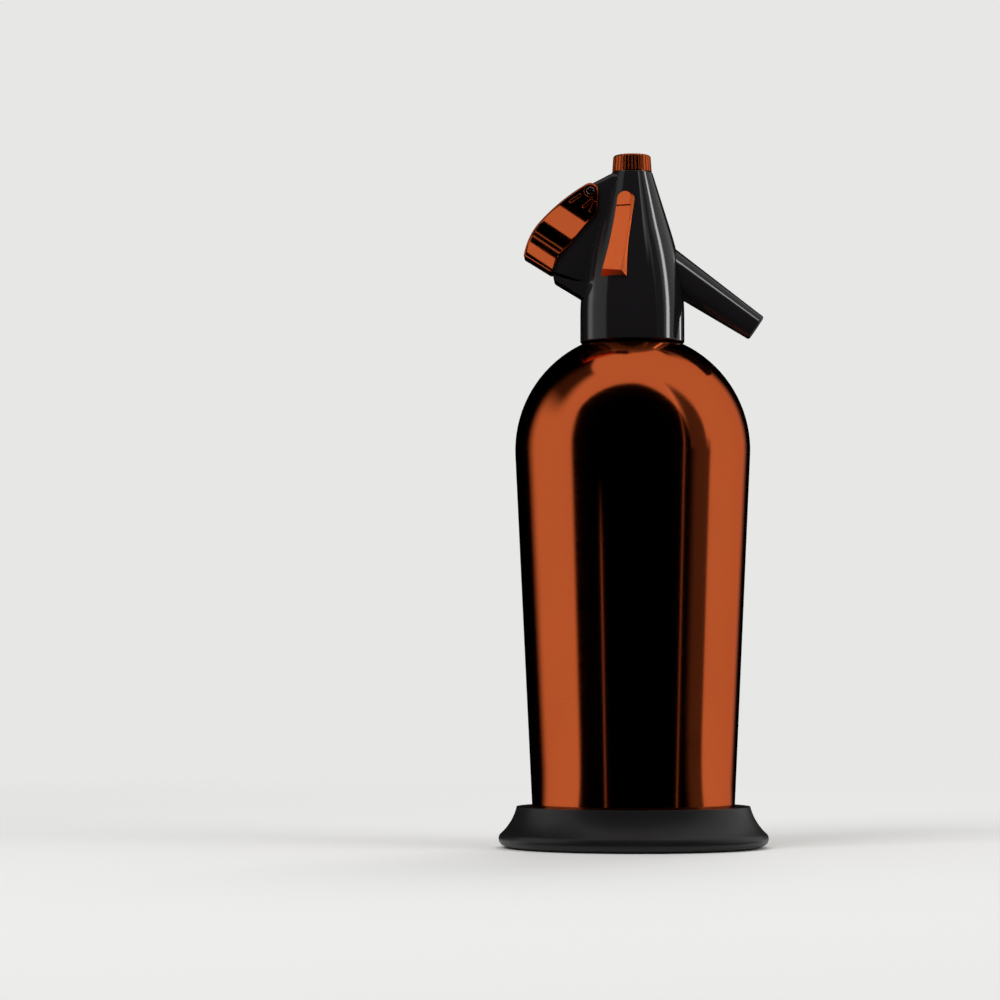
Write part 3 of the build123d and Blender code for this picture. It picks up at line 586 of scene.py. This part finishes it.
def kept_share(tree, fades, whole):
    """How much of a panel shows: a whole share, or less where it fades towards its edges.

    Of the four fades, the first two run across the panel and the other two up it.
    """
    place = tree.nodes.new("ShaderNodeTexCoord").outputs["UV"]
    split = add(tree, "ShaderNodeSeparateXYZ", {0: place})
    kept = whole
    for number, share in enumerate(fades):
        if share > 0:
            axis, far = divmod(number, 2)
            reach = {
                "Value": split.outputs[axis],
                "From Min": float(far),
                "From Max": abs(far - share),
            }
            ramp = add(tree, "ShaderNodeMapRange", reach, interpolation_type="SMOOTHSTEP")
            product = {0: kept, 1: ramp.outputs["Result"]}
            kept = add(tree, "ShaderNodeMath", product, operation="MULTIPLY").outputs[0]
    return kept


def panel_material(name, strength, fades, whole=1.0):
    """A dark panel if the strength is 0, else a glow that is added to what lies behind it.

    fades gives its faded shares, and whole how much shows of what isn't faded.
    """
    material = bpy.data.materials.new(name)
    material.use_nodes = True
    tree = material.node_tree
    tree.nodes.clear()
    output = tree.nodes.new("ShaderNodeOutputMaterial")
    kept = kept_share(tree, fades, whole)
    clear = tree.nodes.new("ShaderNodeBsdfTransparent").outputs[0]
    glow = add(tree, "ShaderNodeEmission", {"Strength": strength})
    if strength == 0:
        surface = add(tree, "ShaderNodeMixShader", {0: kept, 1: clear, 2: glow.outputs[0]})
    else:
        surface = add(tree, "ShaderNodeAddShader", {0: clear, 1: glow.outputs[0]})
        if any(fades):
            level = add(tree, "ShaderNodeMath", {0: kept, 1: strength}, operation="MULTIPLY")
            tree.links.new(level.outputs[0], glow.inputs["Strength"])
    tree.links.new(surface.outputs[0], output.inputs["Surface"])
    return material


def only_reflected(thing):
    """Makes a panel show in reflections and nowhere else."""
    thing.visible_camera = False
    thing.visible_diffuse = False
    thing.visible_shadow = False
    thing.visible_transmission = False
    thing.visible_volume_scatter = False


def ring_point(reach, bearing, height):
    """A point round the bottle's axis, at a bearing in degrees from -Y towards +X."""
    return (reach * sin(radians(bearing)), -reach * cos(radians(bearing)), height)


def curved_panel(name, reach, start, end, low, high, strength, fades, whole=1.0):
    """A panel curved round the bottle's axis, from one bearing to another."""

    def point(u, v):
        return ring_point(reach, start + (end - start) * u, low + (high - low) * v)

    panel = sheet_mesh(name, PANEL_STEPS, 1, point)
    panel.data.materials.append(panel_material(name + "_light", strength, fades, whole))
    only_reflected(panel)
    return panel


def light_only(thing, *names):
    """Limits a light or a glowing panel to some of the pieces."""
    group = bpy.data.collections.new(thing.name + "_receivers")
    for name in names:
        group.objects.link(nodes[name])
    thing.light_linking.receiver_collection = group


def make_floor():
    """A pale floor that fades into the backdrop."""
    colours, sizes = settings()
    reach = sizes.floor_radius

    def point(u, v):
        bearing = 2 * pi * u
        return (reach * v * sin(bearing), -reach * v * cos(bearing), 0.0)

    floor = sheet_mesh("floor", *FLOOR_STEPS, point)
    material, tree, shader, place = new_finish("pale_floor", Roughness=1.0, Specular_IOR_Level=0.0)
    cloud = patches(tree, place, 0.12)
    pale = tuple(colours.backdrop)
    tone = tinted(tree, cloud, *(toned(pale, share) for share in FLOOR_TONES))
    tree.links.new(tone, shader.inputs["Base Color"])
    distance = add(tree, "ShaderNodeVectorMath", {0: place}, operation="LENGTH")
    start = FLOOR_FADE_START * reach
    fade = add(
        tree,
        "ShaderNodeMapRange",
        {"Value": distance.outputs["Value"], "From Min": start, "From Max": reach},
        interpolation_type="SMOOTHSTEP",
    )
    clear = tree.nodes.new("ShaderNodeBsdfTransparent")
    mixed = add(
        tree,
        "ShaderNodeMixShader",
        {0: fade.outputs["Result"], 1: shader.outputs[0], 2: clear.outputs[0]},
    )
    output = next(node for node in tree.nodes if node.type == "OUTPUT_MATERIAL")
    tree.links.new(mixed.outputs[0], output.inputs["Surface"])
    floor.data.materials.append(material)


def make_world():
    """Even light all round; what shows and what is mirrored is the pale backdrop."""
    colours, _ = settings()
    world = bpy.data.worlds.new("studio")
    world.use_nodes = True
    tree = world.node_tree
    tree.nodes.clear()
    output = tree.nodes.new("ShaderNodeOutputWorld")
    rays = tree.nodes.new("ShaderNodeLightPath").outputs
    seen = rays["Is Camera Ray"]
    for other in ("Is Glossy Ray", "Is Transmission Ray"):
        either = {0: seen, 1: rays[other]}
        seen = add(tree, "ShaderNodeMath", either, operation="MAXIMUM").outputs[0]
    ambient = add(
        tree, "ShaderNodeBackground", {"Color": (1.0, 1.0, 1.0, 1.0), "Strength": AMBIENT_LIGHT}
    )
    backdrop = add(tree, "ShaderNodeBackground", {"Color": (*colours.backdrop, 1.0)})
    mixed = add(
        tree, "ShaderNodeMixShader", {0: seen, 1: ambient.outputs[0], 2: backdrop.outputs[0]}
    )
    tree.links.new(mixed.outputs[0], output.inputs["Surface"])
    bpy.context.scene.world = world


def make_lamp(name, place, size, power):
    """A large soft lamp that isn't mirrored itself."""
    data = bpy.data.lights.new(name, "AREA")
    data.size = size
    data.energy = power
    lamp = bpy.data.objects.new(name, data)
    lamp.location = place
    lamp.rotation_mode = "QUATERNION"
    lamp.rotation_quaternion = (LAMP_TARGET - Vector(place)).to_track_quat("-Z", "Y")
    lamp.visible_glossy = False
    bpy.context.scene.collection.objects.link(lamp)


def make_lamps():
    """A key lamp at the left, a fill at the right and a lamp from above and behind."""
    make_lamp("key_lamp", (-0.9, -1.1, 1.3), size=0.9, power=14.0)
    make_lamp("fill_lamp", (1.3, -0.7, 0.9), size=1.0, power=8.0)
    make_lamp("back_lamp", (0.3, 1.2, 1.4), size=0.9, power=10.0)


def flat_panel(name, centre, target, along, size, strength, fades):
    """A flat panel that faces a target; size is its width, and its length along a direction."""
    centre, along = Vector(centre), Vector(along)
    facing = (Vector(target) - centre).normalized()
    along = (along - facing * along.dot(facing)).normalized()
    across = facing.cross(along)

    def point(u, v):
        return centre + across * (u - 0.5) * size[0] + along * (v - 0.5) * size[1]

    panel = sheet_mesh(name, 1, 1, point)
    panel.data.materials.append(panel_material(name + "_light", strength, fades))
    only_reflected(panel)
    return panel


def arch_height(bearing, end, foot, cones):
    """How high a front panel reaches at a bearing, so that the dome mirrors a round arch.

    The arch's edge keeps an angle of cones from straight ahead, -Y: the first one at the left
    and ahead, going over to the second one at the right end.
    """
    _, sizes = settings()
    cone = cones[0] + (cones[1] - cones[0]) * (max(bearing, 0) / end) ** 2
    rise = acos(min(cos(radians(cone)) / cos(radians(bearing)), 1.0))
    return foot + sizes.panel_radius * tan(rise)


def make_front_panel(name, reach, start, end, foot, cones, fades, whole):
    """An arched dark panel in front of the siphon."""

    def point(u, v):
        bearing = start + (end - start) * u
        return ring_point(reach, bearing, arch_height(bearing, end, foot, cones) * v)

    panel = sheet_mesh(name + "_dark_panel", ARCH_STEPS, 1, point)
    panel.data.materials.append(panel_material(name + "_dark", 0.0, fades, whole))
    only_reflected(panel)


def dark_apron(name, start, end, fades, whole=1.0, height=APRON_HEIGHT):
    """A dark sheet just over the floor, from the foot to a dark panel and faded as it is."""
    _, sizes = settings()

    def point(u, v):
        reach = APRON_START + (sizes.panel_radius - APRON_START) * v
        return ring_point(reach, start + (end - start) * u, height)

    apron = sheet_mesh(name + "_dark_apron", PANEL_STEPS, 1, point)
    apron.data.materials.append(panel_material(name + "_apron", 0.0, (*fades[:2], 0, 0), whole))
    only_reflected(apron)


def make_round_panels():
    """The dark panels and aprons and the bright strips that stand round the siphon."""
    _, sizes = settings()
    for number, (name, start, end, *arch, fades, whole) in enumerate(FRONT_PANELS):
        reach = sizes.panel_radius - FRONT_STEP * number
        make_front_panel(name, reach, start, end, *arch, fades, whole)
        dark_apron(name, start, end, fades, whole, APRON_HEIGHT + APRON_STEP * number)
    for name, start, end, top, fades in BACK_PANELS:
        curved_panel(name + "_dark_panel", sizes.panel_radius, start, end, 0.0, top, 0.0, fades)
        dark_apron(name, start, end, fades)
    curved_panel(
        "shoulder_dark_panel",
        sizes.panel_radius - FRONT_STEP,
        *SHOULDER_PLACE,
        strength=0.0,
        fades=SHOULDER_FADES,
        whole=SHOULDER_DARKNESS,
    )
    for name, receiver, *place in BRIGHT_STRIPS:
        light_only(curved_panel(name + "_strip", *place), receiver)


def make_spout_panel():
    """The panel that draws the bright line along the spout."""
    line = flat_panel(
        "spout_line_panel",
        centre=(0.325, -0.257, 0.713),
        target=(0.045, 0.0, 0.245),
        along=VALVE_AXIS,
        size=(0.13, 0.25),
        strength=11.0,
        fades=(0.3, 0.3, 0.1, 0.1),
    )
    light_only(line, "spout")


def make_side_panels(side, ending):
    """The panels for the side bar and the lever's cheek on one side: -1 is the camera's side.

    Each of the lever's bands stands off the cheek, moved and widened so that the cheek mirrors
    it at the place and the size that the table gives.
    """
    _, sizes = settings()
    bar_panel = flat_panel(
        "bar_panel_" + ending,
        centre=(-0.218, side * 0.283, 0.488),
        target=(-0.007, side * 0.022, 0.27),
        along=(0.0, 0.0, 1.0),
        size=(0.3, 0.3),
        strength=1.0,
        fades=(0.2, 0.2, 0.2, 0.2),
    )
    light_only(bar_panel, "side_bar_right", "side_bar_left")
    share = sizes.lever_panel_gap / (sizes.camera_distance - CHEEK)
    eye = Vector((0.0, 0.0, sizes.camera_height))
    for number, (start, end, strength) in enumerate(LEVER_BANDS):
        middle = PIN + LEVER_RUN * (start + end) / 2
        middle += (middle - eye) * share
        centre = middle + Vector((0.0, side * (CHEEK + sizes.lever_panel_gap), 0.0))
        size = (LEVER_BAND_WIDTH, (end - start) * (1 + share))
        name = f"lever_band_{number}_{ending}"
        band = flat_panel(name, centre, middle, LEVER_RUN, size, strength, fades=(0, 0, 0, 0))
        light_only(band, "lever")


def make_panels():
    """The dark and bright panels that the bright metal and the black gloss mirror."""
    make_round_panels()
    make_spout_panel()
    make_side_panels(-1, "near")
    make_side_panels(1, "far")


def make_camera():
    """A camera that looks at the siphon from the side, a little from below its middle."""
    _, sizes = settings()
    data = bpy.data.cameras.new("camera")
    data.sensor_width = CAMERA_SENSOR
    data.lens = CAMERA_LENS
    camera = bpy.data.objects.new("camera", data)
    camera.location = (0.0, -sizes.camera_distance, sizes.camera_height)
    camera.rotation_mode = "QUATERNION"
    camera.rotation_quaternion = (CAMERA_AIM - camera.location).to_track_quat("-Z", "Y")
    bpy.context.scene.collection.objects.link(camera)
    bpy.context.scene.camera = camera


def make_stage():
    """Floor, world, lamps, panels and camera."""
    bpy.context.scene.view_settings.view_transform = "Standard"
    make_floor()
    make_world()
    make_lamps()
    make_panels()
    make_camera()


# ---------------------------------------------------------------- operators and panel
class SIPHON_OT_bottle(bpy.types.Operator):
    """Finish the bottle"""

    bl_idname = "siphon.bottle"
    bl_label = "Bottle"

    def execute(self, context):
        dress_bottle()
        return {"FINISHED"}


class SIPHON_OT_foot(bpy.types.Operator):
    """Finish the foot, its rubber and its fixings"""

    bl_idname = "siphon.foot"
    bl_label = "Foot"

    def execute(self, context):
        dress_foot()
        return {"FINISHED"}


class SIPHON_OT_dip_tube(bpy.types.Operator):
    """Finish the dip tube, its flange and its gasket"""

    bl_idname = "siphon.dip_tube"
    bl_label = "Dip tube"

    def execute(self, context):
        dress_dip_tube()
        return {"FINISHED"}


class SIPHON_OT_threads(bpy.types.Operator):
    """Finish the neck ring and the skirt insert"""

    bl_idname = "siphon.threads"
    bl_label = "Threads"

    def execute(self, context):
        dress_threads()
        return {"FINISHED"}


class SIPHON_OT_head(bpy.types.Operator):
    """Finish the head"""

    bl_idname = "siphon.head"
    bl_label = "Head"

    def execute(self, context):
        dress_head()
        return {"FINISHED"}


class SIPHON_OT_valve(bpy.types.Operator):
    """Finish the discharge valve"""

    bl_idname = "siphon.valve"
    bl_label = "Valve"

    def execute(self, context):
        dress_valve()
        return {"FINISHED"}


class SIPHON_OT_spout(bpy.types.Operator):
    """Finish the spout and its flow straightener"""

    bl_idname = "siphon.spout"
    bl_label = "Spout"

    def execute(self, context):
        dress_spout()
        return {"FINISHED"}


class SIPHON_OT_lever(bpy.types.Operator):
    """Finish the lever and its pin"""

    bl_idname = "siphon.lever"
    bl_label = "Lever"

    def execute(self, context):
        dress_lever()
        return {"FINISHED"}


class SIPHON_OT_side_bars(bpy.types.Operator):
    """Finish the bars on the head's sides"""

    bl_idname = "siphon.side_bars"
    bl_label = "Side bars"

    def execute(self, context):
        dress_side_bars()
        return {"FINISHED"}


class SIPHON_OT_inlet(bpy.types.Operator):
    """Finish the gas inlet and its non-return valve"""

    bl_idname = "siphon.inlet"
    bl_label = "Gas inlet"

    def execute(self, context):
        dress_inlet()
        return {"FINISHED"}


class SIPHON_OT_cap(bpy.types.Operator):
    """Finish the cap and its liner"""

    bl_idname = "siphon.cap"
    bl_label = "Cap"

    def execute(self, context):
        dress_cap()
        return {"FINISHED"}


class SIPHON_OT_stage(bpy.types.Operator):
    """Set up the floor, the light and the camera"""

    bl_idname = "siphon.stage"
    bl_label = "Stage"

    def execute(self, context):
        make_stage()
        return {"FINISHED"}


OPERATORS = (
    SIPHON_OT_bottle,
    SIPHON_OT_foot,
    SIPHON_OT_dip_tube,
    SIPHON_OT_threads,
    SIPHON_OT_head,
    SIPHON_OT_valve,
    SIPHON_OT_spout,
    SIPHON_OT_lever,
    SIPHON_OT_side_bars,
    SIPHON_OT_inlet,
    SIPHON_OT_cap,
    SIPHON_OT_stage,
)


class SIPHON_PT_sidebar(bpy.types.Panel):
    """The siphon's colours, sizes and steps"""

    bl_idname = "SIPHON_PT_sidebar"
    bl_label = "Soda siphon"
    bl_space_type = "VIEW_3D"
    bl_region_type = "UI"
    bl_category = "Siphon"

    def draw(self, context):
        for group in (context.scene.siphon_colours, context.scene.siphon_sizes):
            box = self.layout.box()
            for name in group.bl_rna.properties.keys():
                if name not in ("rna_type", "name"):
                    box.prop(group, name)
        for operator in OPERATORS:
            self.layout.operator(operator.bl_idname)


CLASSES = (SiphonColours, SiphonSizes, *OPERATORS, SIPHON_PT_sidebar)


def register():
    for each in CLASSES:
        bpy.utils.register_class(each)
    bpy.types.Scene.siphon_colours = bpy.props.PointerProperty(type=SiphonColours)
    bpy.types.Scene.siphon_sizes = bpy.props.PointerProperty(type=SiphonSizes)


def unregister():
    del bpy.types.Scene.siphon_sizes
    del bpy.types.Scene.siphon_colours
    for each in reversed(CLASSES):
        bpy.utils.unregister_class(each)


def main():
    register()
    for operator in OPERATORS:
        step = operator.bl_idname.split(".")[1]
        getattr(bpy.ops.siphon, step)()


if __name__ == "__main__":
    main()
